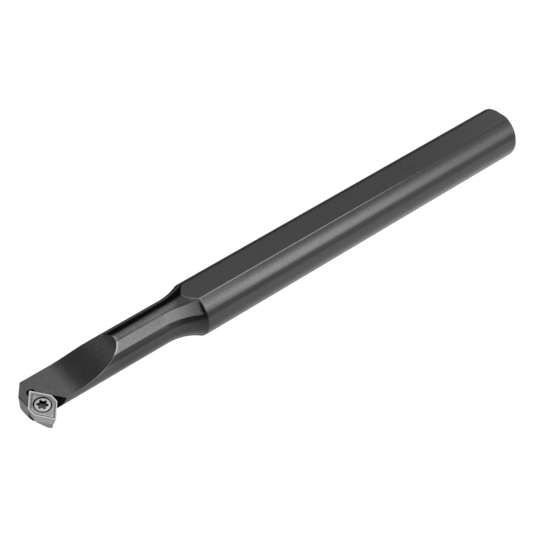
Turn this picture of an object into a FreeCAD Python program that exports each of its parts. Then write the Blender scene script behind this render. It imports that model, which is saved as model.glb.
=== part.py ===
import FreeCAD, Part
import math
import os

# An indexable boring bar, right hand. Millimetres. X runs along the shank's axis towards its
# back end, the cutting tip points to -Y, and +Z is up, the way the rake face looks.
# The origin is on the shank's axis at the shoulder where the full diameter starts.

# Shank
shank_diameter = 12.0
shank_length = 94.3
flat_height = 5.3
end_chamfer = 0.5

# Neck, turned off centre so that the tip side has room in the bore
neck_diameter = 8.5
neck_offset_y = 0.6
neck_offset_z = 0.4
transition_radius = 15.5
transition_sections = 12

# Head
front_length = 42.0
front_relief_angle = 8.3
corner_cut_y = 1.9
tip_reach = 6.83
seat_to_front = 2.5
rake_tilt = 7.46
gullet_drop = 0.08
gullet_straight_length = 8.5
gullet_runout_radius = 26.5

# Insert: 80 degree rhombus with its two obtuse corners cut square
insert_circle = 5.556
insert_thickness = 2.38
insert_acute_angle = 80.0
insert_relief_angle = 11.0
insert_nose_radius = 0.2
insert_half_width = 2.85
insert_land = 0.3
groove_slope = 0.2
groove_depth = 0.16
groove_floor = 0.2
insert_hole_diameter = 2.8
countersink_diameter = 3.94
countersink_half_angle = 30.0

# Seat under the insert
seat_setback = 0.12
nose_underside = -3.82
nose_chamfer_setback = 1.9
nose_chamfer_angle = 43.0
corner_relief_radius = 0.85
corner_relief_inset = 0.3
corner_relief_depth = 0.15

# Clamping screw
thread_diameter = 2.5
thread_clearance = 0.02
screw_head_diameter = 3.4
screw_head_recess = 0.02
screw_head_bevel = 0.12
screw_length = 4.2
screw_point = 0.3
socket_diameter = 2.24
socket_valley_diameter = 1.6
socket_lobe_radius = 0.2
socket_depth = 0.95
socket_turn = 11.0
socket_lobes = 6

Vector = FreeCAD.Vector
X_AXIS = Vector(1, 0, 0)
Y_AXIS = Vector(0, 1, 0)
Z_AXIS = Vector(0, 0, 1)

shank_radius = shank_diameter / 2
neck_radius = neck_diameter / 2
half_acute = math.radians(insert_acute_angle / 2)
relief = math.tan(math.radians(insert_relief_angle))
tilt = math.radians(rake_tilt)
clear = 2 * shank_diameter

# The rake face's middle: the sharp tip lies at the height of the shank's axis.
tip_distance = insert_circle / 2 / math.sin(half_acute)
obtuse_distance = insert_circle / 2 / math.cos(half_acute)
insert_middle = Vector(
    -front_length + seat_to_front,
    -tip_reach + tip_distance * math.cos(tilt),
    tip_distance * math.sin(tilt),
)
rake_frame = FreeCAD.Placement(insert_middle, FreeCAD.Rotation(X_AXIS, rake_tilt))


def in_rake_frame(shape):
    """Move a shape drawn with the rake face at z = 0 to its place in the head."""
    moved = shape.copy()
    moved.Placement = rake_frame.multiply(moved.Placement)
    return moved


def closed_face(points):
    """A flat face from its corner points."""
    return Part.Face(Part.makePolygon(points + [points[0]]))


def insert_corners(inset, half_width):
    """Corners of the insert's outline moved in by inset, from the inner corner clockwise."""
    acute = tip_distance - inset / math.sin(half_acute)
    slope = math.cos(half_acute) / math.sin(half_acute)
    side = acute - half_width * slope
    return [
        (0, acute),
        (half_width, side),
        (half_width, -side),
        (0, -acute),
        (-half_width, -side),
        (-half_width, side),
    ]


def insert_outline(inset, nose, height):
    """Closed wire of the insert's outline with both acute corners rounded."""
    corners = [Vector(x, y, height) for x, y in insert_corners(inset, insert_half_width - inset)]
    if nose <= 0:
        return Part.makePolygon(corners + [corners[0]])
    run = nose / math.tan(half_acute)
    edges = []
    start = None
    first = None
    for number, corner in enumerate(corners):
        before = corners[number - 1]
        after = corners[(number + 1) % len(corners)]
        if number % 3 == 0:
            to_before = (before - corner).normalize()
            to_after = (after - corner).normalize()
            arc_start = corner + to_before * run
            arc_end = corner + to_after * run
            inward = (to_before + to_after).normalize()
            middle = corner + inward * (nose / math.sin(half_acute) - nose)
            if start is not None:
                edges.append(Part.makeLine(start, arc_start))
            else:
                first = arc_start
            edges.append(Part.Arc(arc_start, middle, arc_end).toShape())
            start = arc_end
        else:
            edges.append(Part.makeLine(start, corner))
            start = corner
    edges.append(Part.makeLine(start, first))
    return Part.Wire(edges)


def tapered(top_inset, top_height, bottom_inset, bottom_height, nose):
    """Solid between two insert outlines."""
    upper = insert_outline(top_inset, nose, top_height)
    lower = insert_outline(bottom_inset, nose, bottom_height)
    return Part.makeLoft([upper, lower], True, True)


def make_shank():
    """Turned shank with a chamfered back end."""
    profile = closed_face([
        Vector(0, 0, 0),
        Vector(0, shank_radius, 0),
        Vector(shank_length - end_chamfer, shank_radius, 0),
        Vector(shank_length, shank_radius - end_chamfer, 0),
        Vector(shank_length, 0, 0),
    ])
    return profile.revolve(Vector(0, 0, 0), X_AXIS, 360)


def make_transition():
    """Concave blend from the eccentric neck to the shoulder, and where it starts."""
    offset = Vector(0, neck_offset_y, neck_offset_z)
    shift = offset.Length
    near_side = Vector(0, 1, 0) if shift == 0 else offset / shift
    small_step = shank_radius - neck_radius - shift
    large_step = shank_radius - neck_radius + shift
    small_run = math.sqrt(2 * transition_radius * small_step - small_step ** 2)
    large_run = math.sqrt(2 * transition_radius * large_step - large_step ** 2)

    def rise(run, x):
        depth = max(0.0, x + run)
        return transition_radius - math.sqrt(transition_radius ** 2 - depth ** 2)

    sections = []
    for number in range(transition_sections + 1):
        x = -large_run * (1 - number / transition_sections)
        towards = neck_radius + shift + rise(small_run, x)
        away = neck_radius - shift + rise(large_run, x)
        centre = near_side * ((towards - away) / 2) + Vector(x, 0, 0)
        circle = Part.Circle(centre, X_AXIS, (towards + away) / 2)
        sections.append(Part.Wire(circle.toShape()))
    return Part.makeLoft(sections, True), large_run


def make_nose():
    """Block that carries the insert's tip beside the neck."""
    set_in = insert_thickness * relief + seat_setback
    depth = shank_radius
    block = tapered(set_in, -insert_thickness, set_in + depth * relief / 2,
                    -insert_thickness - depth, 0)
    block = in_rake_frame(block)
    chamfer_at = -front_length + nose_chamfer_setback
    chamfer_rise = math.tan(math.radians(nose_chamfer_angle)) * clear
    keep = closed_face([
        Vector(clear, -clear, nose_underside),
        Vector(chamfer_at, -clear, nose_underside),
        Vector(chamfer_at - clear, -clear, nose_underside + chamfer_rise),
        Vector(clear, -clear, nose_underside + chamfer_rise),
    ])
    return block.common(keep.extrude(Y_AXIS * (2 * clear)))


def make_gullet_cutter():
    """Flat parallel to the rake face that runs out of the neck on a large radius."""
    floor = -gullet_drop
    start = insert_middle.x
    end_x = -front_length + gullet_straight_length - start
    high = shank_diameter
    reach = math.sqrt(2 * gullet_runout_radius * high - high ** 2)
    half_reach = reach / 2
    half_rise = gullet_runout_radius - math.sqrt(gullet_runout_radius ** 2 - half_reach ** 2)
    floor_start = Vector(-clear, -clear, floor)
    floor_end = Vector(end_x, -clear, floor)
    runout_middle = Vector(end_x + half_reach, -clear, floor + half_rise)
    runout_end = Vector(end_x + reach, -clear, floor + high)
    above_start = Vector(-clear, -clear, floor + high)
    outline = Part.Wire([
        Part.makeLine(floor_start, floor_end),
        Part.Arc(floor_end, runout_middle, runout_end).toShape(),
        Part.makeLine(runout_end, above_start),
        Part.makeLine(above_start, floor_start),
    ])
    return in_rake_frame(Part.Face(outline).extrude(Y_AXIS * (2 * clear)))


def make_front_cutter():
    """Front face, which leans back below the rake face."""
    lean = math.tan(math.radians(front_relief_angle))
    top = insert_middle.z + clear
    bottom = insert_middle.z - clear
    face = closed_face([
        Vector(-front_length - lean * clear, -clear, top),
        Vector(-front_length + lean * clear, -clear, bottom),
        Vector(-front_length - clear, -clear, bottom),
        Vector(-front_length - clear, -clear, top),
    ])
    return face.extrude(Y_AXIS * (2 * clear))


def make_corner_cutter():
    """Far front corner, cut parallel to the insert's front edge."""
    along = Vector(math.sin(half_acute), math.cos(half_acute), 0)
    out = Vector(-math.cos(half_acute), math.sin(half_acute), 0)
    corner = Vector(-front_length, corner_cut_y, -clear)
    face = closed_face([
        corner - along * clear,
        corner + along * clear,
        corner + along * clear + out * clear,
        corner - along * clear + out * clear,
    ])
    return face.extrude(Z_AXIS * (2 * clear))


def pocket_section(height):
    """Open wedge between the pocket's two walls at a height over the rake face."""
    apex = tip_distance + height * relief / math.sin(half_acute)
    slope = math.cos(half_acute) / math.sin(half_acute)
    wide = shank_diameter
    return Part.makePolygon([
        Vector(0, apex, height),
        Vector(wide, apex - wide * slope, height),
        Vector(wide, apex - wide * slope - clear, height),
        Vector(-wide, apex - wide * slope - clear, height),
        Vector(-wide, apex - wide * slope, height),
        Vector(0, apex, height),
    ])


def make_pocket_cutter():
    """Insert pocket: floor, two walls and the round relief in their corner."""
    pocket = Part.makeLoft([pocket_section(-insert_thickness), pocket_section(shank_radius)], True, True)
    bottom = -insert_thickness - corner_relief_depth
    at = Vector(0, tip_distance - insert_thickness * relief - corner_relief_inset, bottom)
    round_relief = Part.makeCylinder(corner_relief_radius, shank_diameter, at, Z_AXIS)
    screw_hole = Part.makeCylinder(thread_diameter / 2, shank_diameter,
                                   Vector(0, 0, -insert_thickness - shank_diameter), Z_AXIS)
    return in_rake_frame(pocket.fuse([round_relief, screw_hole]))


def make_bar():
    """The one-piece steel bar."""
    transition, run = make_transition()
    neck_start = Vector(-front_length - shank_radius, neck_offset_y, neck_offset_z)
    neck = Part.makeCylinder(neck_radius, front_length + shank_radius - run, neck_start, X_AXIS)
    body = make_shank().fuse([transition, neck, make_nose()]).removeSplitter()
    flat = Part.makeBox(run + shank_length + clear, clear, clear,
                        Vector(-run, -clear / 2, flat_height))
    body = body.cut(flat)
    for cutter in (make_gullet_cutter(), make_front_cutter(), make_corner_cutter(), make_pocket_cutter()):
        body = body.cut(cutter)
    return body.removeSplitter()


def make_insert():
    """Cutting insert with a chip groove and a countersunk hole."""
    depth = insert_thickness
    body = tapered(0, 0, depth * relief, -depth, insert_nose_radius)
    groove_outer = tapered(insert_land, 0, insert_land + groove_slope, -groove_depth, 0)
    island_top = insert_land + 2 * groove_slope + groove_floor
    island = tapered(island_top, 0, island_top - groove_slope, -groove_depth, 0)
    body = body.cut(groove_outer.cut(island))
    hole_radius = insert_hole_diameter / 2
    sink_radius = countersink_diameter / 2
    sink_depth = (sink_radius - hole_radius) / math.tan(math.radians(countersink_half_angle))
    hole = Part.makeCylinder(hole_radius, 2 * depth, Vector(0, 0, -2 * depth), Z_AXIS)
    sink = Part.makeCone(hole_radius, sink_radius, sink_depth, Vector(0, 0, -sink_depth), Z_AXIS)
    return in_rake_frame(body.cut(hole.fuse(sink)))


def socket_wire(height):
    """Outline of the driver socket: round lobes joined by tangent round valleys."""
    outer = socket_diameter / 2
    inner = socket_valley_diameter / 2
    pitch = math.pi / socket_lobes
    lobe_at = outer - socket_lobe_radius
    along = lobe_at * math.cos(pitch)
    valley_radius = (
        (socket_lobe_radius ** 2 - lobe_at ** 2 - inner ** 2 + 2 * inner * along)
        / (2 * (inner - along - socket_lobe_radius))
    )
    valley_at = inner + valley_radius
    share = socket_lobe_radius / (socket_lobe_radius + valley_radius)

    def at(radius, angle):
        turned = angle + math.radians(socket_turn)
        return Vector(radius * math.cos(turned), radius * math.sin(turned), height)

    edges = []
    for number in range(socket_lobes):
        lobe = 2 * pitch * number
        joint_before = at(lobe_at, lobe) * (1 - share) + at(valley_at, lobe - pitch) * share
        joint_after = at(lobe_at, lobe) * (1 - share) + at(valley_at, lobe + pitch) * share
        next_joint = at(lobe_at, lobe + 2 * pitch) * (1 - share) + at(valley_at, lobe + pitch) * share
        edges.append(Part.Arc(joint_before, at(outer, lobe), joint_after).toShape())
        edges.append(Part.Arc(joint_after, at(inner, lobe + pitch), next_joint).toShape())
    return Part.Wire(edges)


def make_screw():
    """Countersunk clamping screw with a six-lobe socket."""
    head = screw_head_diameter / 2
    shaft = thread_diameter / 2 - thread_clearance
    taper = math.tan(math.radians(countersink_half_angle))
    sink_radius = countersink_diameter / 2
    cone_top = -(sink_radius - head) / taper
    cone_bottom = -(sink_radius - shaft) / taper
    top = -screw_head_recess
    end = -screw_head_recess - screw_length
    profile = closed_face([
        Vector(0, 0, top),
        Vector(head - screw_head_bevel, 0, top),
        Vector(head, 0, top - screw_head_bevel),
        Vector(head, 0, cone_top),
        Vector(shaft, 0, cone_bottom),
        Vector(shaft, 0, end + screw_point),
        Vector(shaft - screw_point, 0, end),
        Vector(0, 0, end),
    ])
    body = profile.revolve(Vector(0, 0, 0), Z_AXIS, 360)
    socket = Part.Face(socket_wire(top - socket_depth)).extrude(Z_AXIS * (2 * socket_depth))
    return in_rake_frame(body.cut(socket))


PIECES = {
    "bar": make_bar,
    "insert": make_insert,
    "clamp_screw": make_screw,
}

os.makedirs("parts", exist_ok=True)
for name, make in PIECES.items():
    shape = make()
    shape.exportStep(os.path.join("parts", name + ".step"))
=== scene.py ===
# %% [markdown]
# # A boring bar, dressed for its photograph
# A boring bar turns the inside of a hole on a lathe. This one is a single piece of dark steel with a
# round shank, a flat along the top, a slimmer neck and a small head. A hard cutting insert sits in a
# pocket at the tip, and one countersunk screw holds it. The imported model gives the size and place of
# each piece. Blender gives them broken edges, a chip groove, a thread and their steel finishes.

# %% Load the model that sets every size
import math

import bmesh
import bpy
from mathutils import Matrix, Vector


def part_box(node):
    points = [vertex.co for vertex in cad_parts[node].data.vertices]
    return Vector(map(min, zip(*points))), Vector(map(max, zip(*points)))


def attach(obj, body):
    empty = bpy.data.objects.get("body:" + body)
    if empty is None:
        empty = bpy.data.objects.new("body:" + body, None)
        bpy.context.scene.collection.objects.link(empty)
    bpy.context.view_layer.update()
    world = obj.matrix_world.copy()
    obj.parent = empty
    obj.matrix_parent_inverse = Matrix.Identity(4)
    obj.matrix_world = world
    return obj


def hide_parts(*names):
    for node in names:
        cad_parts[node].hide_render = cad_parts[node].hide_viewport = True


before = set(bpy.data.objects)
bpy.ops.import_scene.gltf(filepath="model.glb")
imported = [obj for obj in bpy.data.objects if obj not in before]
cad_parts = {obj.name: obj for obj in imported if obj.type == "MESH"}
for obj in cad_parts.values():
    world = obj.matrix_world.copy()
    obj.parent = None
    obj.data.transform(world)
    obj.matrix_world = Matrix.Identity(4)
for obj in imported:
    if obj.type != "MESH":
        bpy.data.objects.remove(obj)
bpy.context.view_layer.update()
MILLIMETRE = 0.001
for node in sorted(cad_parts):
    low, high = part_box(node)
    print(node, [round((high[i] - low[i]) / MILLIMETRE, 2) for i in range(3)], "mm")

# %% [markdown]
# ## Working in millimetres
# The edges of this tool are a tenth of a millimetre wide, so the pieces are modelled with one Blender
# unit as one millimetre, where the tools' tolerances are comfortable. Each finished piece is then
# brought down to metres and its place is written into its mesh. The operators act on whatever is
# selected, so a few short helpers start clean, pick faces or edges by their place, and cut.

# %% Distances and directions that the helpers share
MERGE_DISTANCE = 0.0004
NEAR = 0.01
SQUARE_ON = 0.999
SPARE = 0.5
CLEARANCE = 1.0


# %% Helpers for modelling
def start_clean():
    """Leave edit mode and let go of everything."""
    if bpy.context.object is not None and bpy.context.object.mode != "OBJECT":
        bpy.ops.object.mode_set(mode="OBJECT")
    bpy.ops.object.select_all(action="DESELECT")


def hold(piece):
    """Select only this piece and make it active."""
    start_clean()
    piece.select_set(True)
    bpy.context.view_layer.objects.active = piece


def settle(piece, name=None):
    """Write the piece's place and turn into its mesh."""
    hold(piece)
    bpy.ops.object.transform_apply(location=True, rotation=True, scale=True)
    if name is not None:
        piece.name = name
        piece.data.name = name
    return piece


def edit(piece, kind="FACE"):
    """Open a piece in edit mode with all of it selected."""
    hold(piece)
    bpy.ops.object.mode_set(mode="EDIT")
    bpy.ops.mesh.select_mode(type=kind)
    bpy.ops.mesh.select_all(action="SELECT")


def pick(piece, wanted, kind="FACE"):
    """In edit mode, select only the faces, edges or vertices for which wanted(element) is true."""
    bpy.ops.mesh.select_mode(type=kind)
    bpy.ops.mesh.select_all(action="DESELECT")
    shape = bmesh.from_edit_mesh(piece.data)
    shape.normal_update()
    for element in {"FACE": shape.faces, "EDGE": shape.edges, "VERT": shape.verts}[kind]:
        if wanted(element):
            element.select_set(True)
    shape.select_flush_mode()
    bmesh.update_edit_mesh(piece.data)


# %% Helpers that cut, join and finish a mesh
def slice_off(piece, point, outward):
    """Cut away what lies beyond a plane and close the cut."""
    edit(piece)
    bpy.ops.mesh.bisect(plane_co=point, plane_no=outward, use_fill=True, clear_outer=True)
    start_clean()


def combine(piece, tool, operation):
    """Cut a tool out of a piece, or join it on, and remove the tool."""
    hold(piece)
    modifier = piece.modifiers.new("cut", "BOOLEAN")
    modifier.operation = operation
    modifier.solver = "EXACT"
    modifier.material_mode = "TRANSFER"
    modifier.object = tool
    bpy.ops.object.modifier_apply(modifier=modifier.name)
    bpy.data.objects.remove(tool)


def face_outwards(piece):
    """Merge doubles and turn every face outwards."""
    edit(piece)
    bpy.ops.mesh.remove_doubles(threshold=MERGE_DISTANCE)
    bpy.ops.mesh.normals_make_consistent(inside=False)
    start_clean()


def break_edges(piece, width, sharper_than):
    """Round every edge that turns more than an angle."""
    hold(piece)
    bevel = piece.modifiers.new("broken edges", "BEVEL")
    bevel.width = width
    bevel.segments = 2
    bevel.limit_method = "ANGLE"
    bevel.angle_limit = math.radians(sharper_than)
    bevel.use_clamp_overlap = True
    bpy.ops.object.modifier_apply(modifier=bevel.name)


def mark(piece, finish_name, wanted=None):
    """Give a piece, or only the faces for which wanted(face) is true, a named finish."""
    finish = bpy.data.materials.get(finish_name) or bpy.data.materials.new(finish_name)
    if finish_name not in piece.data.materials:
        piece.data.materials.append(finish)
    number = piece.data.materials.find(finish_name)
    for face in piece.data.polygons:
        if wanted is None or wanted(face):
            face.material_index = number


def shade_as_machined(piece, sharper_than=40):
    """Smooth shading over round faces, with the large flat faces kept flat."""
    hold(piece)
    bpy.ops.object.shade_smooth_by_angle(angle=math.radians(sharper_than))
    weighted = piece.modifiers.new("even shading", "WEIGHTED_NORMAL")
    weighted.keep_sharp = True
    weighted.weight = 50
    bpy.ops.object.modifier_apply(modifier=weighted.name)


def to_metres(piece):
    """Bring a finished piece from millimetres down to metres."""
    hold(piece)
    piece.scale = (MILLIMETRE, MILLIMETRE, MILLIMETRE)
    bpy.ops.object.transform_apply(location=True, rotation=True, scale=True)
    print(piece.name, len(piece.data.polygons), "faces")


# %% [markdown]
# ## The camera first
# The photograph is a close view with real perspective, from the front left and 42 degrees above. The
# camera is placed from the shoulder of the bar: a distance, an azimuth, an elevation and a small roll.
# The camera then moves aside, without turning, so that the shoulder falls on the same pixel as in the
# photograph.

# %% Camera at the photograph's angle
IMAGE_SIZE = 535
CAMERA_AZIMUTH = -42.862
CAMERA_ELEVATION = 42.153
CAMERA_ROLL = 1.733
CAMERA_DISTANCE = 347.154 * MILLIMETRE
FOCAL_PIXELS = 1671.433
SHOULDER_PIXEL = (190.706, 309.995)
SENSOR = 36.0

azimuth = math.radians(CAMERA_AZIMUTH)
elevation = math.radians(CAMERA_ELEVATION)
roll = math.radians(CAMERA_ROLL)
backwards = Vector((
    math.sin(azimuth) * math.cos(elevation),
    -math.cos(azimuth) * math.cos(elevation),
    math.sin(elevation),
))
level_right = Vector((0, 0, 1)).cross(backwards).normalized()
level_up = backwards.cross(level_right)
right = level_right * math.cos(roll) + level_up * math.sin(roll)
up = level_up * math.cos(roll) - level_right * math.sin(roll)
centre = IMAGE_SIZE / 2
aside = (SHOULDER_PIXEL[0] - centre) / FOCAL_PIXELS * CAMERA_DISTANCE
above = (centre - SHOULDER_PIXEL[1]) / FOCAL_PIXELS * CAMERA_DISTANCE

# %% Set the camera up
camera_data = bpy.data.cameras.new("photo_camera")
camera_data.sensor_width = SENSOR
camera_data.lens = FOCAL_PIXELS * SENSOR / IMAGE_SIZE
camera_data.clip_start = 0.01
camera_data.clip_end = 50.0
camera = bpy.data.objects.new("photo_camera", camera_data)
camera_turn = Matrix((right, up, backwards)).transposed().to_4x4()
camera_place = backwards * CAMERA_DISTANCE - right * aside - up * above
camera.matrix_world = Matrix.Translation(camera_place) @ camera_turn
bpy.context.scene.collection.objects.link(camera)
bpy.context.scene.camera = camera
print("camera at", [round(a / MILLIMETRE, 1) for a in camera_place], "mm, lens", round(camera_data.lens, 1))

# %% [markdown]
# ## The round body: one ring pulled along the axis
# The shank, the blend and the neck are all round, so they come from one ring of points that is pulled
# out, moved and resized from the back end to the front. The neck is off centre, which makes the blend
# longer on one side. Each ring of the blend lies on a circle arc of 15.5 mm on both sides.

# %% Sizes of the bar
SHANK_RADIUS = 6.0
SHANK_LENGTH = 94.3
END_CHAMFER = 0.5
FLAT_HEIGHT = 5.3
NECK_RADIUS = 4.25
NECK_OFFSET = Vector((0, 0.6, 0.4))
BLEND_RADIUS = 15.5
FRONT = -42.0
FRONT_LEAN = math.radians(8.3)
POINTS_AROUND = 180
BLEND_RINGS = 30
END_BREAK = 0.08
SHOULDER_BREAK = 0.08
FLAT_BREAK = 0.024


# %% The blend between neck and shank
def blend_run(step):
    """How far back from the shoulder an arc of the blend starts, for a step in radius."""
    return math.sqrt(2 * BLEND_RADIUS * step - step ** 2)


def blend_rise(run, x):
    """Height of the arc over the neck at x."""
    return BLEND_RADIUS - math.sqrt(BLEND_RADIUS ** 2 - max(0.0, x + run) ** 2)


shift = NECK_OFFSET.length
towards = NECK_OFFSET / shift
short_run = blend_run(SHANK_RADIUS - NECK_RADIUS - shift)
long_run = blend_run(SHANK_RADIUS - NECK_RADIUS + shift)
print("blend", round(short_run, 2), "mm long on one side and", round(long_run, 2), "mm on the other")


def blend_ring(x):
    """Ring (x, radius, centre) of the blend at x."""
    near = NECK_RADIUS + shift + blend_rise(short_run, x)
    far = NECK_RADIUS - shift + blend_rise(long_run, x)
    return (x, (near + far) / 2, towards * ((near - far) / 2))


# %% Rings from the back end to the front
def broken_corner(before, corner, after, width):
    """Three points (x, radius) that round a corner of the profile off."""
    before, corner, after = Vector(before), Vector(corner), Vector(after)
    start = corner + (before - corner).normalized() * width
    end = corner + (after - corner).normalized() * width
    return [start, (start + end + 2 * corner) / 4, end]


end_face = (SHANK_LENGTH, 0)
end_corner = (SHANK_LENGTH, SHANK_RADIUS - END_CHAMFER)
side_corner = (SHANK_LENGTH - END_CHAMFER, SHANK_RADIUS)
shoulder = (0, SHANK_RADIUS)
profile = broken_corner(end_face, end_corner, side_corner, END_BREAK)
profile += broken_corner(end_corner, side_corner, shoulder, END_BREAK)
rings = [(x, radius, Vector()) for x, radius in profile]
first_blend = blend_ring(-SHOULDER_BREAK)
rings.append((SHOULDER_BREAK, SHANK_RADIUS, Vector()))
rings.append((0, (3 * SHANK_RADIUS + first_blend[1]) / 4, first_blend[2] / 4))
for number in range(BLEND_RINGS + 1):
    rings.append(blend_ring(-SHOULDER_BREAK - (long_run - SHOULDER_BREAK) * number / BLEND_RINGS))
rings.append((FRONT - SHANK_RADIUS, NECK_RADIUS, NECK_OFFSET))


# %% Pull the ring along
def pull_round_body(rings):
    """A closed round body through rings of (x, radius, centre)."""
    x, radius, middle = rings[0]
    start_clean()
    half_step = math.pi / POINTS_AROUND
    bpy.ops.mesh.primitive_circle_add(vertices=POINTS_AROUND, radius=radius, fill_type="NGON")
    body = bpy.context.object
    body.rotation_euler = (0, 0, half_step)
    settle(body)
    body.rotation_euler = (0, math.radians(90), 0)
    body.location = (x, middle.y, middle.z)
    settle(body, "bar_body")
    edit(body)
    place = Vector((x, middle.y, middle.z))
    for x, next_radius, middle in rings[1:]:
        next_place = Vector((x, middle.y, middle.z))
        bpy.ops.mesh.extrude_region_move(TRANSFORM_OT_translate={"value": next_place - place})
        grow = next_radius / radius
        bpy.ops.transform.resize(value=(1, grow, grow), center_override=next_place)
        place, radius = next_place, next_radius
    start_clean()
    face_outwards(body)
    return body


bar_body = pull_round_body(rings)
slice_off(bar_body, (0, 0, FLAT_HEIGHT), (0, 0, 1))
mark(bar_body, "turned_steel")

# %% [markdown]
# The flat's two long edges are broken by hand, so each gets two narrow slices between the flat and the
# round.

# %% Break the flat's edges
flat_corner = math.acos(FLAT_HEIGHT / SHANK_RADIUS)
for side in (-1, 1):
    for part in (1 / 4, 3 / 4):
        lean = flat_corner * part
        outward = Vector((0, side * math.sin(lean), math.cos(lean)))
        corner = Vector((0, side * SHANK_RADIUS * math.sin(flat_corner), FLAT_HEIGHT))
        slice_off(bar_body, corner - outward * FLAT_BREAK, outward)


def is_flat(face):
    """Faces of the clamping flat."""
    return face.normal.z > SQUARE_ON and face.center.z > FLAT_HEIGHT - NEAR


mark(bar_body, "ground_shank", lambda face: face.center.x > 0)
mark(bar_body, "milled_flat", is_flat)
print("round body", len(bar_body.data.polygons), "faces")

# %% [markdown]
# ## The rake frame
# The insert, its pocket and the gullet are all square to the rake face, which is tipped 7.46 degrees
# towards the cutting side. So they are modelled flat, with the rake face at height zero and the middle
# of the insert at the origin, and then tipped and carried to the head in one move. The photograph shows
# the insert three percent longer from its tip than its nominal outline, with the screw set a little
# towards the inner corner.

# %% Sizes of the insert and its seat
INSERT_CIRCLE = 2.778
INSERT_THICKNESS = 2.38
HALF_ACUTE = math.radians(40)
RELIEF = math.tan(math.radians(11))
INSERT_HALF_WIDTH = 2.85
NOSE_RADIUS = 0.2
TIP_REACH = 6.83
SEAT_TO_FRONT = 2.5
RAKE_TILT = math.radians(7.46)
SEAT_SETBACK = 0.12
SEEN_LENGTH = 1.03
SCREW_AT = (0.05, 0.23)
LONG_HALF = INSERT_CIRCLE / math.sin(HALF_ACUTE)
inner_corner = LONG_HALF * (2 * SEEN_LENGTH - 1)
rake_place = Vector((
    FRONT + SEAT_TO_FRONT,
    -TIP_REACH + LONG_HALF * math.cos(RAKE_TILT),
    LONG_HALF * math.sin(RAKE_TILT),
))


def carry_to_head(piece):
    """Tip a piece that was modelled flat and carry it to its place in the head."""
    piece.location = rake_place
    piece.rotation_euler = (RAKE_TILT, 0, 0)
    return settle(piece)


# %% Drums, outlines and tapered blocks
ROUND_POINTS = 96
HOLE_POINTS = 64
BITE_POINTS = 48


def drum(radius, low, high, points=ROUND_POINTS, place=(0, 0)):
    """A closed upright cylinder between two heights."""
    start_clean()
    middle = (place[0], place[1], (low + high) / 2)
    bpy.ops.mesh.primitive_cylinder_add(vertices=points, radius=radius, depth=high - low, location=middle)
    return settle(bpy.context.object)


def rhombus(circle, corners_at=None, middle=0.0):
    """A flat rhombus round an inscribed circle, at height zero, its obtuse corners cut square."""
    start_clean()
    bpy.ops.mesh.primitive_circle_add(vertices=4, radius=1.0, fill_type="NGON")
    piece = bpy.context.object
    piece.scale = (circle / math.cos(HALF_ACUTE), circle / math.sin(HALF_ACUTE), 1)
    settle(piece)
    if corners_at is not None:
        for side in (-1, 1):
            edit(piece)
            cut_at = (side * corners_at, 0, 0)
            bpy.ops.mesh.bisect(plane_co=cut_at, plane_no=(side, 0, 0), clear_outer=True)
    start_clean()
    piece.location = (0, middle, 0)
    return settle(piece)


def pull_tapered(piece, steps, middle=(0, 0)):
    """Pull the flat outline through steps of (scale, height), each scale against the first outline."""
    edit(piece)
    scale_now, height_now = steps[0]
    centre = (middle[0], middle[1], height_now)
    bpy.ops.transform.translate(value=(0, 0, height_now))
    bpy.ops.transform.resize(value=(scale_now, scale_now, 1), center_override=centre)
    for scale, height in steps[1:]:
        bpy.ops.mesh.extrude_region_move(TRANSFORM_OT_translate={"value": (0, 0, height - height_now)})
        grow = scale / scale_now
        bpy.ops.transform.resize(value=(grow, grow, 1), center_override=(middle[0], middle[1], height))
        scale_now, height_now = scale, height
    start_clean()
    face_outwards(piece)
    return piece


def share(inset):
    """Scale that moves the insert's sides in by a distance."""
    return 1 - inset / INSERT_CIRCLE


# %% [markdown]
# ## The head
# The nose under the insert's tip stands beside the round neck. It is a tapered block with the insert's
# own outline, set in a little, and its underside is cut flat and chamfered. It reaches up past the
# pocket's floor, so that the pocket cuts its top. The front face leans back, and the far corner is cut
# off parallel to the insert's front edge.

# %% Nose, front face and far corner
NOSE_DEPTH = 6.0
NOSE_UNDERSIDE = -3.82
NOSE_CHAMFER_SETBACK = 1.9
NOSE_CHAMFER = math.radians(43)
CORNER_CUT_Y = 2.1
FRONT_FACING = -0.98
CORNER_FACING = -0.7

set_in = INSERT_THICKNESS * RELIEF + SEAT_SETBACK
nose = rhombus(INSERT_CIRCLE, INSERT_HALF_WIDTH)
pull_tapered(nose, [
    (share(set_in - SPARE * RELIEF), SPARE - INSERT_THICKNESS),
    (share(set_in), -INSERT_THICKNESS),
    (share(set_in + NOSE_DEPTH * RELIEF / 2), -INSERT_THICKNESS - NOSE_DEPTH),
])
carry_to_head(nose)
slice_off(nose, (0, 0, NOSE_UNDERSIDE), (0, 0, -1))
slice_off(
    nose,
    (FRONT + NOSE_CHAMFER_SETBACK, 0, NOSE_UNDERSIDE),
    (-math.sin(NOSE_CHAMFER), 0, -math.cos(NOSE_CHAMFER)),
)
mark(nose, "bright_head")
combine(bar_body, nose, "UNION")
slice_off(bar_body, (FRONT, 0, rake_place.z), (-math.cos(FRONT_LEAN), 0, -math.sin(FRONT_LEAN)))
slice_off(bar_body, (FRONT, CORNER_CUT_Y, 0), (-math.cos(HALF_ACUTE), math.sin(HALF_ACUTE), 0))
mark(bar_body, "front_face", lambda face: face.normal.x < FRONT_FACING)
mark(bar_body, "bright_head", lambda face: FRONT_FACING < face.normal.x < CORNER_FACING)

# %% [markdown]
# ## The gullet
# Chips leave over a flat that a side milling cutter leaves behind: a straight floor level with the
# rake face, then the cutter's own large radius where it runs out of the neck. A drum of that radius,
# with its front half pulled out straight, cuts it.

# %% Mill the gullet
GULLET_DROP = 0.08
GULLET_STRAIGHT = 8.5
GULLET_RADIUS = 26.5
GULLET_POINTS = 360
REACH = 20.0

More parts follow.
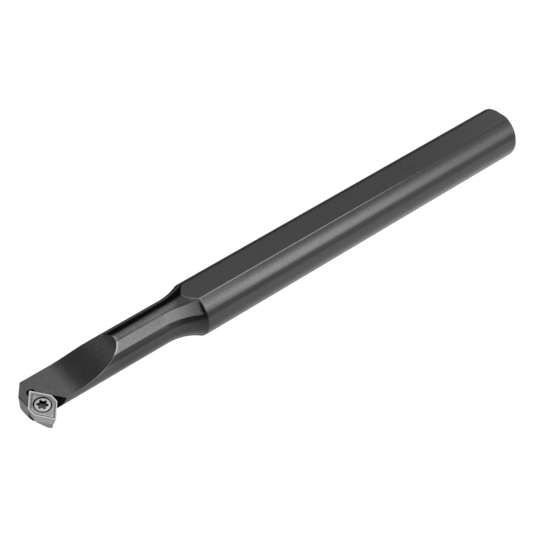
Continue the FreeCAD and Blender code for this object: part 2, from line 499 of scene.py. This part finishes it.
straight_end = FRONT + GULLET_STRAIGHT - rake_place.x
start_clean()
bpy.ops.mesh.primitive_cylinder_add(vertices=GULLET_POINTS, radius=GULLET_RADIUS, depth=2 * REACH)
gullet_cutter = bpy.context.object
gullet_cutter.rotation_euler = (math.radians(90), 0, 0)
gullet_cutter.location = (straight_end, 0, GULLET_RADIUS - GULLET_DROP)
settle(gullet_cutter)
slice_off(gullet_cutter, (straight_end, 0, 0), (-1, 0, 0))
edit(gullet_cutter)
pick(gullet_cutter, lambda face: face.normal.x < -SQUARE_ON)
bpy.ops.mesh.extrude_region_move(TRANSFORM_OT_translate={"value": (-REACH, 0, 0)})
face_outwards(gullet_cutter)
carry_to_head(gullet_cutter)
mark(gullet_cutter, "milled_gullet")
combine(bar_body, gullet_cutter, "DIFFERENCE")

# %% [markdown]
# ## The pocket
# Two walls meet behind the insert's inner corner and lean with its relief, and the floor is the
# insert's thickness below the rake face. A drilled relief in the corner keeps the walls' meeting point
# clear of the insert, and the tapped hole goes right through under the screw.

# %% Cut the pocket
RELIEF_HOLE_RADIUS = 0.95
RELIEF_HOLE_INSET = 0.22
RELIEF_HOLE_DEPTH = 0.15
THREAD_RADIUS = 1.25
POCKET_CIRCLE = 12.0
POCKET_GAP = 0.06

seat_floor = -INSERT_THICKNESS
pocket_middle = inner_corner + (POCKET_GAP - POCKET_CIRCLE) / math.sin(HALF_ACUTE)
pocket_steps = [(1 + height * RELIEF / POCKET_CIRCLE, height) for height in (seat_floor, SHANK_RADIUS)]
pocket_cutter = rhombus(POCKET_CIRCLE, middle=pocket_middle)
pull_tapered(pocket_cutter, pocket_steps, middle=(0, pocket_middle))
relief_at = (0, inner_corner - INSERT_THICKNESS * RELIEF - RELIEF_HOLE_INSET)
relief_hole = drum(RELIEF_HOLE_RADIUS, seat_floor - RELIEF_HOLE_DEPTH, SHANK_RADIUS, HOLE_POINTS, relief_at)
tapped_hole = drum(THREAD_RADIUS, seat_floor - REACH / 2, seat_floor + SPARE, HOLE_POINTS, SCREW_AT)
# The pocket, the relief hole and the tapped hole get near-black steel: painted shade in the recesses.
for cutter in (pocket_cutter, relief_hole, tapped_hole):
    mark(cutter, "painted_shade_steel")
    combine(bar_body, carry_to_head(cutter), "DIFFERENCE")

# %% [markdown]
# The edge between the front face and the gullet is broken too, by one narrow slice that leans half way
# between the two faces.

# %% Break the front edge and finish the bar
FRONT_EDGE_BREAK = 0.125
BAR_CREASE = 17

over_rake = Vector((0, -math.sin(RAKE_TILT), math.cos(RAKE_TILT)))
off_front = Vector((-math.cos(FRONT_LEAN), 0, -math.sin(FRONT_LEAN)))
off_edge = (over_rake + off_front).normalized()
front_edge = Vector((FRONT, rake_place.y, rake_place.z)) - over_rake * GULLET_DROP
slice_off(bar_body, front_edge - off_edge * FRONT_EDGE_BREAK, off_edge)
# The front edge's slice gets the same near-black steel: a painted dark line along the edge.
mark(bar_body, "painted_shade_steel", lambda face: face.normal.dot(off_edge) > SQUARE_ON)
face_outwards(bar_body)
shade_as_machined(bar_body, BAR_CREASE)
to_metres(bar_body)

# %% [markdown]
# ## The insert
# The insert starts as its own outline: a four-sided circle stretched to an 80 degree rhombus, its two
# obtuse corners cut square and its two sharp ones rounded. It is pulled down with 11 degrees of relief.
# On top the same outline is pulled in and down for the land and the chip groove, and up again for the
# raised middle.

# %% Insert body and chip groove
LAND = 0.24
GROOVE_START = 0.32
GROOVE_SLOPE = 0.12
GROOVE_DEPTH = 0.16
GROOVE_FLOOR = 0.14
GROOVE_LIP = 0.35
ISLAND_SLOPE = 0.18
ISLAND_DROP = 0.01
NOSE_STEPS = 8
BESIDE_MIDDLE = 0.1

insert_body = rhombus(INSERT_CIRCLE, INSERT_HALF_WIDTH)
mark(insert_body, "ground_hard_metal")
edit(insert_body, "VERT")
pick(insert_body, lambda vertex: abs(vertex.co.x) < BESIDE_MIDDLE, "VERT")
bpy.ops.mesh.bevel(affect="VERTICES", offset=NOSE_RADIUS / math.tan(HALF_ACUTE), segments=NOSE_STEPS)
start_clean()
island_foot = GROOVE_START + GROOVE_SLOPE + GROOVE_FLOOR
pull_tapered(insert_body, [
    (share(INSERT_THICKNESS * RELIEF), -INSERT_THICKNESS),
    (share(0), 0),
    (share(LAND), 0),
    (share(GROOVE_START), -GROOVE_DEPTH * GROOVE_LIP),
    (share(GROOVE_START + GROOVE_SLOPE), -GROOVE_DEPTH),
    (share(island_foot), -GROOVE_DEPTH),
    (share(island_foot + ISLAND_SLOPE), -ISLAND_DROP),
])

# %% Finishes of the land and the groove
FLUSH = 0.001
LEVEL = 0.99
LOW_IN_GROOVE = 0.6


def is_land(face):
    """Faces of the ground land, flush with the rake face."""
    return abs(face.center.z) < FLUSH and face.normal.z > LEVEL


def is_groove(face):
    """Faces low in the pressed groove."""
    return -GROOVE_DEPTH - NEAR < face.center.z < -GROOVE_DEPTH * LOW_IN_GROOVE


mark(insert_body, "ground_land", is_land)
mark(insert_body, "pressed_groove", is_groove)

# %% [markdown]
# The hole is a plain bore with a countersink for the screw's head. A lathed cutter gives both, and the
# bevel afterwards breaks every edge, because a ground insert has a fine bright line round each one.

# %% Turn a profile
HOLE_RADIUS = 1.4
SINK_RADIUS = 1.9
SINK_ANGLE = math.radians(30)
INSERT_BREAK = 0.03
INSERT_SHARP = 15


def lathe(profile):
    """A closed turned piece from (radius, height) pairs, the first and last on the axis."""
    corners = [(radius, 0, height) for radius, height in profile]
    lines = [(number, number + 1) for number in range(len(profile) - 1)]
    outline = bpy.data.meshes.new("profile")
    outline.from_pydata(corners, lines, [])
    piece = bpy.data.objects.new("profile", outline)
    bpy.context.scene.collection.objects.link(piece)
    edit(piece, "EDGE")
    bpy.ops.mesh.spin(steps=ROUND_POINTS, angle=2 * math.pi, center=(0, 0, 0), axis=(0, 0, 1))
    start_clean()
    face_outwards(piece)
    return piece


# %% Countersunk hole through the insert
sink_depth = (SINK_RADIUS - HOLE_RADIUS) / math.tan(SINK_ANGLE)
hole_cutter = lathe([
    (0, -INSERT_THICKNESS - CLEARANCE),
    (HOLE_RADIUS, -INSERT_THICKNESS - CLEARANCE),
    (HOLE_RADIUS, -sink_depth),
    (SINK_RADIUS, 0),
    (SINK_RADIUS + CLEARANCE * math.tan(SINK_ANGLE), CLEARANCE),
    (0, CLEARANCE),
])
hole_cutter.location = (SCREW_AT[0], (SCREW_AT[1] + LONG_HALF) / SEEN_LENGTH - LONG_HALF, 0)
# The insert's bore and countersink get near-black steel: painted shade round the screw.
mark(settle(hole_cutter), "painted_shade_steel")
combine(insert_body, hole_cutter, "DIFFERENCE")
face_outwards(insert_body)
break_edges(insert_body, INSERT_BREAK, INSERT_SHARP)
shade_as_machined(insert_body)
edit(insert_body)
bpy.ops.transform.resize(value=(1, SEEN_LENGTH, 1), center_override=(0, -LONG_HALF, 0))
start_clean()
settle(carry_to_head(insert_body), "insert_body")
to_metres(insert_body)

# %% [markdown]
# ## The screw
# The head is turned with the same cone as the hole. The socket's outline is a drum with six round
# bites taken out of its side, its points then rounded. The shaft's thread is one triangle carried
# round and up by the screw modifier. It is a closed ridge that is let into the shaft, and it hides in
# the hole, but the piece is whole.

# %% Turned screw
HEAD_RADIUS = 1.66
HEAD_TOP = -0.02
HEAD_BEVEL = 0.14
BEVEL_SHARE = 0.3
RIM_RADIUS = 1.7
RIM_DROP = 0.1
CONE_END_RADIUS = 1.23
CONE_END_DROP = 0.02
CORE_RADIUS = 1.0
CORE_START = 0.3
POINT = 0.2
SCREW_END = -4.22

rim_foot = -(SINK_RADIUS - RIM_RADIUS) / math.tan(SINK_ANGLE)
cone_foot = -(SINK_RADIUS - CONE_END_RADIUS) / math.tan(SINK_ANGLE)
screw_body = lathe([
    (0, HEAD_TOP),
    (HEAD_RADIUS - HEAD_BEVEL, HEAD_TOP),
    (HEAD_RADIUS - HEAD_BEVEL * BEVEL_SHARE, HEAD_TOP - HEAD_BEVEL * BEVEL_SHARE),
    (HEAD_RADIUS, HEAD_TOP - HEAD_BEVEL),
    (HEAD_RADIUS, rim_foot - RIM_DROP),
    (CONE_END_RADIUS, cone_foot - CONE_END_DROP),
    (CORE_RADIUS, cone_foot - CORE_START),
    (CORE_RADIUS, SCREW_END + POINT),
    (CORE_RADIUS - POINT, SCREW_END),
    (0, SCREW_END),
])

# %% Outline of the six-lobe socket
SOCKET_RADIUS = 1.2
SOCKET_VALLEY = 0.88
SOCKET_DEPTH = 1.0
SOCKET_TURN = math.radians(17)
SOCKET_LOBES = 6
LOBE_ANGLE = 60
LOBE_CORNER = math.radians(25)
LOBE_ROUNDING = 0.1
LOBE_STEPS = 4
VALLEY_BITE = 0.38

socket_bottom = HEAD_TOP - SOCKET_DEPTH
socket = drum(SOCKET_RADIUS, socket_bottom, HEAD_TOP + CLEARANCE)
for lobe in range(SOCKET_LOBES):
    angle = SOCKET_TURN + math.radians(LOBE_ANGLE * (lobe + 0.5))
    out = SOCKET_VALLEY + VALLEY_BITE
    bite_at = (out * math.cos(angle), out * math.sin(angle))
    bite = drum(VALLEY_BITE, socket_bottom - CLEARANCE, HEAD_TOP + 2 * CLEARANCE, BITE_POINTS, bite_at)
    combine(socket, bite, "DIFFERENCE")


def is_lobe_corner(edge):
    """Upright edges where a bite meets the drum."""
    upright = abs(edge.verts[0].co.z - edge.verts[1].co.z) > CLEARANCE
    return upright and len(edge.link_faces) == 2 and edge.calc_face_angle(0) > LOBE_CORNER


edit(socket, "EDGE")
pick(socket, is_lobe_corner, "EDGE")
bpy.ops.mesh.bevel(offset=LOBE_ROUNDING, segments=LOBE_STEPS)
start_clean()

# %% Cut the socket and finish the head
SOCKET_FLOOR_UP = 0.9
SCREW_BREAK = 0.035
SCREW_SHARP = 30


def is_socket_floor(face):
    """Faces of the socket's floor."""
    return abs(face.center.z - socket_bottom) < NEAR and face.normal.z > SOCKET_FLOOR_UP


mark(screw_body, "bright_screw_steel")
# The socket's walls get near-black steel: painted shade inside the socket.
mark(socket, "socket_painted_shade")
combine(screw_body, socket, "DIFFERENCE")
face_outwards(screw_body)
mark(screw_body, "socket_floor", is_socket_floor)
break_edges(screw_body, SCREW_BREAK, SCREW_SHARP)
shade_as_machined(screw_body)

# %% Thread by the screw modifier
PITCH = 0.45
CREST_RADIUS = 1.22
THREAD_SINK = 0.03
THREAD_START = 0.35
THREAD_TURNS = 5
THREAD_STEPS = 40

start_clean()
bpy.ops.mesh.primitive_circle_add(vertices=3, radius=PITCH / 2)
thread = bpy.context.object
thread.rotation_euler = (math.radians(90), 0, 0)
thread.location = ((CORE_RADIUS + CREST_RADIUS) / 2 - THREAD_SINK, 0, SCREW_END + THREAD_START)
settle(thread, "thread")
wind = thread.modifiers.new("wind", "SCREW")
wind.screw_offset = PITCH
wind.iterations = THREAD_TURNS
wind.steps = THREAD_STEPS
wind.render_steps = THREAD_STEPS
hold(thread)
bpy.ops.object.modifier_apply(modifier=wind.name)
edit(thread, "EDGE")
bpy.ops.mesh.select_all(action="DESELECT")
bpy.ops.mesh.select_non_manifold()
bpy.ops.mesh.edge_face_add()
start_clean()
face_outwards(thread)

# %% Join the thread to the screw
hold(screw_body)
thread.select_set(True)
bpy.context.view_layer.objects.active = screw_body
bpy.ops.object.join()
screw_body.location = (SCREW_AT[0], SCREW_AT[1], 0)
settle(screw_body)
settle(carry_to_head(screw_body), "screw_body")
to_metres(screw_body)

# %% [markdown]
# ## Shader maths in plain expressions
# Each finish is a small network of nodes. One class wraps a socket and lets it be added, subtracted
# and multiplied as in a formula. Everything reads Object coordinates in millimetres, so a pattern keeps
# its real size on the steel.

# %% Small class that wraps a shader socket
class Sock:
    """A shader value that takes part in expressions."""

    def __init__(self, tree, out):
        self.tree = tree
        self.out = out

    def _math(self, operation, *values):
        return node(self.tree, "ShaderNodeMath", {"operation": operation}, dict(enumerate(values)))

    def __add__(self, other):
        return self._math("ADD", self, other)

    def __radd__(self, other):
        return self._math("ADD", other, self)

    def __sub__(self, other):
        return self._math("SUBTRACT", self, other)

    def __rsub__(self, other):
        return self._math("SUBTRACT", other, self)

    def __mul__(self, other):
        return self._math("MULTIPLY", self, other)

    def __rmul__(self, other):
        return self._math("MULTIPLY", other, self)


# %% Nodes, ramps and colours
def node(tree, kind, settings=None, values=None, output=0):
    """Any node: its settings first, then the values or links of its sockets."""
    made = tree.nodes.new(kind)
    for name, value in (settings or {}).items():
        setattr(made, name, value)
    for name, value in (values or {}).items():
        plug(made, name, value)
    return Sock(tree, made.outputs[output])


def plug(made, name, value):
    """Link or set one input of a node."""
    if isinstance(value, Sock):
        value.tree.links.new(value.out, made.inputs[name])
    else:
        made.inputs[name].default_value = value


def ramp(tree, value, low, high, start=0.0, end=1.0):
    """Smooth step of a value from low to high."""
    settings = {"interpolation_type": "SMOOTHSTEP"}
    return node(tree, "ShaderNodeMapRange", settings, {0: value, 1: low, 2: high, 3: start, 4: end})


def larger(tree, first, second):
    """The larger of two values."""
    return node(tree, "ShaderNodeMath", {"operation": "MAXIMUM"}, {0: first, 1: second})


def axes_of(tree, place):
    """The three coordinates of a place."""
    split = node(tree, "ShaderNodeSeparateXYZ", None, {0: place})
    return [Sock(tree, split.out.node.outputs[i]) for i in range(3)]


def grey(level):
    """A neutral colour."""
    return (level, level, level, 1.0)


def neutral(tree, tone):
    """A neutral colour whose level changes over the surface."""
    return node(tree, "ShaderNodeCombineColor", None, {0: tone, 1: tone, 2: tone})


def mix_shader(tree, factor, first, second):
    """One shader where the factor is 0, the other where it is 1."""
    return node(tree, "ShaderNodeMixShader", None, {0: factor, 1: first, 2: second})


# %% Start of every finish
GRAIN_HEIGHT = 0.00002


def new_finish(name):
    """A cleared tree, its Principled shader and Object coordinates in millimetres."""
    finish = bpy.data.materials.get(name) or bpy.data.materials.new(name)
    finish.use_nodes = True
    tree = finish.node_tree
    tree.nodes.clear()
    shader = tree.nodes.new("ShaderNodeBsdfPrincipled")
    output = tree.nodes.new("ShaderNodeOutputMaterial")
    tree.links.new(shader.outputs[0], output.inputs[0])
    metres = node(tree, "ShaderNodeTexCoord", output=3)
    in_millimetres = {"Vector": metres, "Scale": 1 / MILLIMETRE}
    place = node(tree, "ShaderNodeVectorMath", {"operation": "SCALE"}, in_millimetres)
    return tree, shader, place


def noise(tree, place, scale, stretch=(1, 1, 1), detail=3.0):
    """Noise in millimetres, stretched along an axis if wanted."""
    place = node(tree, "ShaderNodeVectorMath", {"operation": "MULTIPLY"}, {0: place, 1: stretch})
    return node(tree, "ShaderNodeTexNoise", None, {"Vector": place, "Scale": scale, "Detail": detail})


def grain_bump(tree, strength, height):
    """Bump of a fine grain."""
    values = {"Strength": strength, "Distance": GRAIN_HEIGHT, "Height": height}
    return node(tree, "ShaderNodeBump", None, values)


# %% [markdown]
# ## Dark steel of the bar
# The bar has a dark oxide finish over machined steel. The shank is ground, so it is a little rougher
# than the turned neck. The gullet and the flat carry the faint strokes of a milling cutter. The
# photograph shows the round body a little lighter along the rims of the flat and the gullet, the
# gullet darker where it runs out, and the front face darker where the insert shades it. These are
# painted highlights and painted shade, written as changes of tone over Object coordinates, with a
# smooth step for each soft edge. The round body is also painted lighter towards the head.

# %% Painted highlights: lighter rims of the round body, and the body lighter towards the head
FLAT_RIM_WIDTH = 0.1
FLAT_RIM_TOP = 0.03
RIM_ON_BLEND = 1.4
RIM_ON_SHANK = 0.5
AT_SHOULDER = (-0.05, 0.2)
RIM_FADES = (45.0, 70.0)
GULLET_RIM_WIDTH = 0.35
GULLET_RIM_TOP = 0.1
GULLET_RIM_GAIN = 0.9
TOWARDS_HEAD = (-19.0, -27.0)
HEAD_GAIN = 1.4


def even(tree, place):
    """No change of tone."""
    return 1.0


def painted_highlights_rims_and_head(tree, place):
    """Painted highlights: lighter steel on the round body along the rims of the flat and the gullet, and
    lighter towards the head.
    """
    x, y, z = axes_of(tree, place)
    flat_rim = ramp(tree, z, FLAT_HEIGHT - FLAT_RIM_WIDTH, FLAT_HEIGHT - FLAT_RIM_TOP)
    flat_gain = ramp(tree, x, *AT_SHOULDER, RIM_ON_BLEND, RIM_ON_SHANK)
    flat_gain = flat_gain - ramp(tree, x, *RIM_FADES, 0.0, RIM_ON_SHANK)
    past_straight = larger(tree, x - (FRONT + GULLET_STRAIGHT), 0.0)
    across = GULLET_RADIUS ** 2 - past_straight * past_straight
    run_out = node(tree, "ShaderNodeMath", {"operation": "SQRT"}, {0: across})
    over_rake = (z - rake_place.z) * math.cos(RAKE_TILT) - (y - rake_place.y) * math.sin(RAKE_TILT)
    below = (GULLET_RADIUS - GULLET_DROP) - run_out - over_rake
    gullet_rim = ramp(tree, below, GULLET_RIM_WIDTH, GULLET_RIM_TOP)
    lighter = 1.0 + flat_rim * flat_gain + GULLET_RIM_GAIN * gullet_rim
    return lighter * ramp(tree, x, *TOWARDS_HEAD, 1.0, HEAD_GAIN)


# %% Painted shade: darker run out and shaded front face
RUN_OUT_FROM = (-34.0, -30.0)
RUN_OUT_PAINTED_SHADE = 0.55
SEAT_EDGE_Y = 1.0
SEAT_EDGE_Z = 0.45
SEAT_EDGE_LEAN = 0.266
SHADE_EDGE = (0.05, -0.25)
SHADE_TONE = 0.02


def run_out_painted_shade(tree, place):
    """Painted shade: the gullet's run out is painted darker than its straight floor."""
    x = axes_of(tree, place)[0]
    return ramp(tree, x, *RUN_OUT_FROM, 1.0, RUN_OUT_PAINTED_SHADE)


def shade_beside_seat(tree, place):
    """The front face lies in the insert's shade along the insert's lower edge."""
    y, z = axes_of(tree, place)[1:]
    from_seat = y + SEAT_EDGE_Y - (SEAT_EDGE_Z - z) * SEAT_EDGE_LEAN
    return ramp(tree, from_seat, *SHADE_EDGE)


# %% Finishes of the bar
ROUND_LAY = (3.0, 0.4, 0.4)
MILLED_LAY = (0.4, 3.0, 0.4)
CLOUD_SCALE = 0.35
FINE_SCALE = 6.0
SPECK_SCALE = 3.0
PLAIN_TONE = 0.83
CLOUD_SHARE = 0.14
FINE_SHARE = 0.2
SMOOTHEST = 0.85
FINE_ROUGHNESS = 0.3
GRAIN_STRENGTH = 0.1


def steel_finish(name, base, roughness, grain=ROUND_LAY, change=even, metal=1.0, mottle=0.5, dark=None):
    """Steel with a tone, a roughness, a fine grain stretched across its lay and, if wanted, an area of
    painted shade.
    """
    tree, shader, place = new_finish(name)
    clouds = noise(tree, place, CLOUD_SCALE, detail=4.0)
    fine = noise(tree, place, FINE_SCALE, stretch=grain, detail=2.0)
    specks = noise(tree, place, SPECK_SCALE, detail=5.0)
    spots = PLAIN_TONE - mottle / 2 + CLOUD_SHARE * clouds + FINE_SHARE * fine + mottle * specks
    plug(shader, "Base Color", neutral(tree, base * spots * change(tree, place)))
    plug(shader, "Metallic", metal)
    plug(shader, "Roughness", roughness * (SMOOTHEST + FINE_ROUGHNESS * fine))
    plug(shader, "Normal", grain_bump(tree, GRAIN_STRENGTH, fine))
    if dark is not None:
        # Painted shade: a near-black diffuse shader is mixed in where dark() rises.
        shade = node(tree, "ShaderNodeBsdfDiffuse", None, {"Color": grey(SHADE_TONE)})
        mixed = mix_shader(tree, dark(tree, place), Sock(tree, shader.outputs[0]), shade)
        output = next(item for item in tree.nodes if item.type == "OUTPUT_MATERIAL")
        plug(output, 0, mixed)


# The turned neck and the ground shank carry painted highlights along their rims and towards the head.
steel_finish("turned_steel", 0.1, 0.08, change=painted_highlights_rims_and_head, mottle=0.7)
steel_finish("ground_shank", 0.1, 0.12, change=painted_highlights_rims_and_head, mottle=0.7)
steel_finish("milled_flat", 0.114, 0.25, grain=MILLED_LAY, mottle=0.7)
# The gullet's run out carries painted shade.
steel_finish("milled_gullet", 0.092, 0.2, grain=MILLED_LAY, change=run_out_painted_shade, mottle=1.2)
# Near-black steel in the pocket, the holes and the front edge's slice is painted shade.
steel_finish("painted_shade_steel", 0.02, 0.35)
steel_finish("bright_head", 0.23, 0.25)
# The front face gets painted shade beside the insert's seat.
steel_finish("front_face", 0.225, 0.3, dark=shade_beside_seat)
# Painted shade on the socket's walls.
steel_finish("socket_painted_shade", 0.012, 0.5)
steel_finish("socket_floor", 0.11, 0.7, metal=0.0, mottle=1.2)

# %% [markdown]
# ## Hard metal and bright steel
# The insert is sintered hard metal. Its sides and its land are ground and its groove is pressed, so
# they differ in tone and in roughness. The screw is plain bright steel.

# %% Finishes of the insert
SPECKLE_SCALE = 5.0
SPECKLE_STRETCH = (0.6, 0.6, 3.0)
SPECKLE_STRENGTH = 0.15
SPECKLE_ROUGHNESS = 0.1


def hard_metal(name, base, spread, roughness):
    """Ground or pressed hard metal with a fine speckle."""
    tree, shader, place = new_finish(name)
    speckle = noise(tree, place, SPECKLE_SCALE, stretch=SPECKLE_STRETCH, detail=4.0)
    plug(shader, "Base Color", neutral(tree, base + spread * speckle))
    plug(shader, "Metallic", 1.0)
    plug(shader, "Roughness", roughness + SPECKLE_ROUGHNESS * speckle)
    plug(shader, "Normal", grain_bump(tree, SPECKLE_STRENGTH, speckle))


hard_metal("ground_hard_metal", 0.22, 0.28, 0.3)
hard_metal("ground_land", 0.52, 0.28, 0.3)
hard_metal("pressed_groove", 0.17, 0.2, 0.4)

# %% Finish of the screw
SCREW_TONE = 0.5
SCREW_SPREAD = 0.08
SCREW_SCALE = 7.0
SCREW_ROUGHNESS = 0.28

tree, shader, place = new_finish("bright_screw_steel")
speckle = noise(tree, place, SCREW_SCALE, detail=2.0)
plug(shader, "Base Color", neutral(tree, SCREW_TONE + SCREW_SPREAD * speckle))
plug(shader, "Metallic", 1.0)
plug(shader, "Roughness", SCREW_ROUGHNESS + SPECKLE_ROUGHNESS * speckle)

# %% Dress the pieces
pieces = (
    (bar_body, "bar", "bar_steel"),
    (insert_body, "insert", "insert_carbide"),
    (screw_body, "clamp_screw", "screw_steel"),
)
for piece, stands_for, slot_name in pieces:
    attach(piece, "root")
    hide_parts(stands_for)

# %% [markdown]
# ## Studio
# Metal shows what surrounds it, so the studio gives the bar its bands. The world is a wall of cards
# round the bar's axis, and each card is a level of light from an angle to the next. The angle is
# measured round the axis from the near side, over the top and down behind. A polished round bar
# mirrors each direction along the axis at another place, so the neck and the shank get a set of cards
# each. Directions beyond the two ends aren't mirrored in the photograph, and plain soft boxes there
# light the bar from its other sides.

# %% Directions round the bar
world = bpy.data.worlds.new("studio")
bpy.context.scene.world = world
world.use_nodes = True
tree = world.node_tree
tree.nodes.clear()
direction = node(tree, "ShaderNodeTexCoord", output=0)
dx, dy, dz = axes_of(tree, direction)
around = node(tree, "ShaderNodeMath", {"operation": "ARCTAN2"}, {0: dz, 1: dy * -1.0})
around = around * (180 / math.pi)


def along(low, high, start, end):
    """A level that changes with the direction along the bar."""
    return ramp(tree, dx, low, high, start, end)


def wall_of_cards(first, cards):
    """Levels of light round the bar, each card as (level, the angle where it starts, soft edge)."""
    level = first
    for next_level, angle, soft in cards:
        level = level + (next_level - level) * ramp(tree, around, angle - soft, angle + soft)
    return level


# %% Cards that the neck and the head mirror
SEAM_TONE = 0.62

horizon = along(0.0, 0.45, 0.18, 0.5) - along(-0.05, -0.38, 0.0, 0.08)
long_box = (1.7 + 2.2 * dx) * along(-0.4, -0.375, 0.05, 1.0)
long_box_angle = 19.0 + 18.0 * dx - along(-0.1, -0.35, 0.0, 5.0)
ceiling = 0.58 + along(0.1, 0.4, 0.0, 0.75) + along(-0.08, -0.38, 0.0, 0.65)
ceiling = ceiling * along(-0.43, -0.385, 0.35, 1.0)
back_card = along(-0.1, -0.3, 0.03, 0.9)
left = wall_of_cards(horizon, [
    (long_box, long_box_angle, 3.0),
    (ceiling * SEAM_TONE, 77.0 + 20.0 * dx, 3.0),
    (ceiling, 85.0 + 20.0 * dx, 4.0),
    (back_card, 126.0, 15.0),
    (0.08, 174.0, 7.0),
])

# %% Cards that the shank mirrors
low_box = along(0.51, 0.64, 2.85, 1.45) * along(0.457, 0.48, 0.55, 1.0)
right = wall_of_cards(along(0.46, 0.56, 0.57, 0.68), [
    (low_box, 12.0, 10.0),
    (along(0.46, 0.65, 0.85, 0.72), 46.0, 17.0),
    (along(0.56, 0.6, 3.0, 0.6), 92.0, 6.0),
    (along(0.46, 0.6, 0.6, 0.33), 108.0, 6.0),
    (0.03, 142.0, 6.0),
    (0.2, 182.0, 6.0),
])

# %% Soft boxes beyond the two ends
ends = wall_of_cards(0.4, [
    (2.0, 25.0, 10.0),
    (0.6, 75.0, 8.0),
    (1.8, 118.0, 8.0),
    (0.4, 155.0, 10.0),
])

# %% Hang the studio
DARKEST = 0.02
NECK_TO_SHANK = (0.453, 0.461)
BACK_END = (0.67, 0.71)
FRONT_END = (-0.52, -0.58)

level = left + (right - left) * ramp(tree, dx, *NECK_TO_SHANK)
level = level + (ends - level) * (ramp(tree, dx, *BACK_END) + ramp(tree, dx, *FRONT_END))
studio = {"Color": grey(1.0), "Strength": larger(tree, level, DARKEST)}
studio_light = node(tree, "ShaderNodeBackground", None, studio)
white = node(tree, "ShaderNodeBackground", None, {"Color": grey(1.0), "Strength": 1.0})
seen = node(tree, "ShaderNodeLightPath", output=0)
plug(tree.nodes.new("ShaderNodeOutputWorld"), 0, mix_shader(tree, seen, studio_light, white))
print("studio", len(tree.nodes), "nodes")

# %% [markdown]
# ## The table
# The camera sees the table as plain white, with a tenth of its lit surface mixed in, which keeps the
# bar's shadow. Polished steel mirrors another table: dimmer towards the head, brighter in a spot below
# it, and dark just behind the bar, because the bar's outline mirrors that strip at a grazing angle.
# From below the table is left out, so that the underside can be seen.

# %% Table top
FLOOR_DROP = 0.1
FLOOR_SIZE = 1.3
FLOOR_MIDDLE = 0.02

start_clean()
bpy.ops.mesh.primitive_plane_add(size=FLOOR_SIZE, location=(FLOOR_MIDDLE, 0, -FLOOR_DROP))
floor = bpy.context.object
floor.name = "floor"
finish = bpy.data.materials.new("white_table")
finish.use_nodes = True
tree = finish.node_tree
tree.nodes.clear()

# %% What the steel mirrors of the table
HEAD_TO_SHANK = (-0.14, 0.13)
HEAD_LEVEL = 0.3
SHANK_LEVEL = 0.9
BEHIND_BAR = (0.0, 0.045)
BEHIND_LEVEL = 0.08
TOWARDS_VIEWER = (-0.25, -0.5)
VIEWER_LEVEL = 0.65
SPOT_AT = (-0.12, 0.02, 0.0)
SPOT_EDGE = (0.05, 0.12)
SPOT_LEVEL = 0.6

on_table = node(tree, "ShaderNodeTexCoord", output=3)
table_x, table_y = axes_of(tree, on_table)[:2]
table = ramp(tree, table_x, *HEAD_TO_SHANK, HEAD_LEVEL, SHANK_LEVEL)
table = table * ramp(tree, table_y, *BEHIND_BAR, 1.0, BEHIND_LEVEL)
from_spot = {0: on_table, 1: SPOT_AT}
away = node(tree, "ShaderNodeVectorMath", {"operation": "DISTANCE"}, from_spot, output=1)
table = table * ramp(tree, table_y, *TOWARDS_VIEWER, 1.0, VIEWER_LEVEL)
table = table + ramp(tree, away, *SPOT_EDGE, SPOT_LEVEL, 0.0)

# %% What each kind of ray sees
TABLE_WHITE = 1.08
PLAIN_SHARE = 0.9
TABLE_TONE = 0.5

path = tree.nodes.new("ShaderNodeLightPath")
camera_ray = Sock(tree, path.outputs["Is Camera Ray"])
glossy_ray = Sock(tree, path.outputs["Is Glossy Ray"])
through_ray = Sock(tree, path.outputs["Is Transmission Ray"])
lit = node(tree, "ShaderNodeBsdfDiffuse", None, {"Color": grey(TABLE_TONE)})
mirrored = node(tree, "ShaderNodeEmission", None, {"Color": grey(1.0), "Strength": table})
plain = node(tree, "ShaderNodeEmission", None, {"Color": grey(1.0), "Strength": TABLE_WHITE})
shown = mix_shader(tree, larger(tree, glossy_ray, through_ray), lit, mirrored)
shown = mix_shader(tree, camera_ray * PLAIN_SHARE, shown, plain)
from_below = node(tree, "ShaderNodeNewGeometry", output=6)
nothing = node(tree, "ShaderNodeBsdfTransparent")
shown = mix_shader(tree, from_below, shown, nothing)
plug(tree.nodes.new("ShaderNodeOutputMaterial"), 0, shown)
floor.data.materials.append(finish)

# %% [markdown]
# ## Colour
# The view transform is Standard, so a colour renders about as it is written.

# %% Set the view transform
bpy.context.scene.view_settings.view_transform = "Standard"
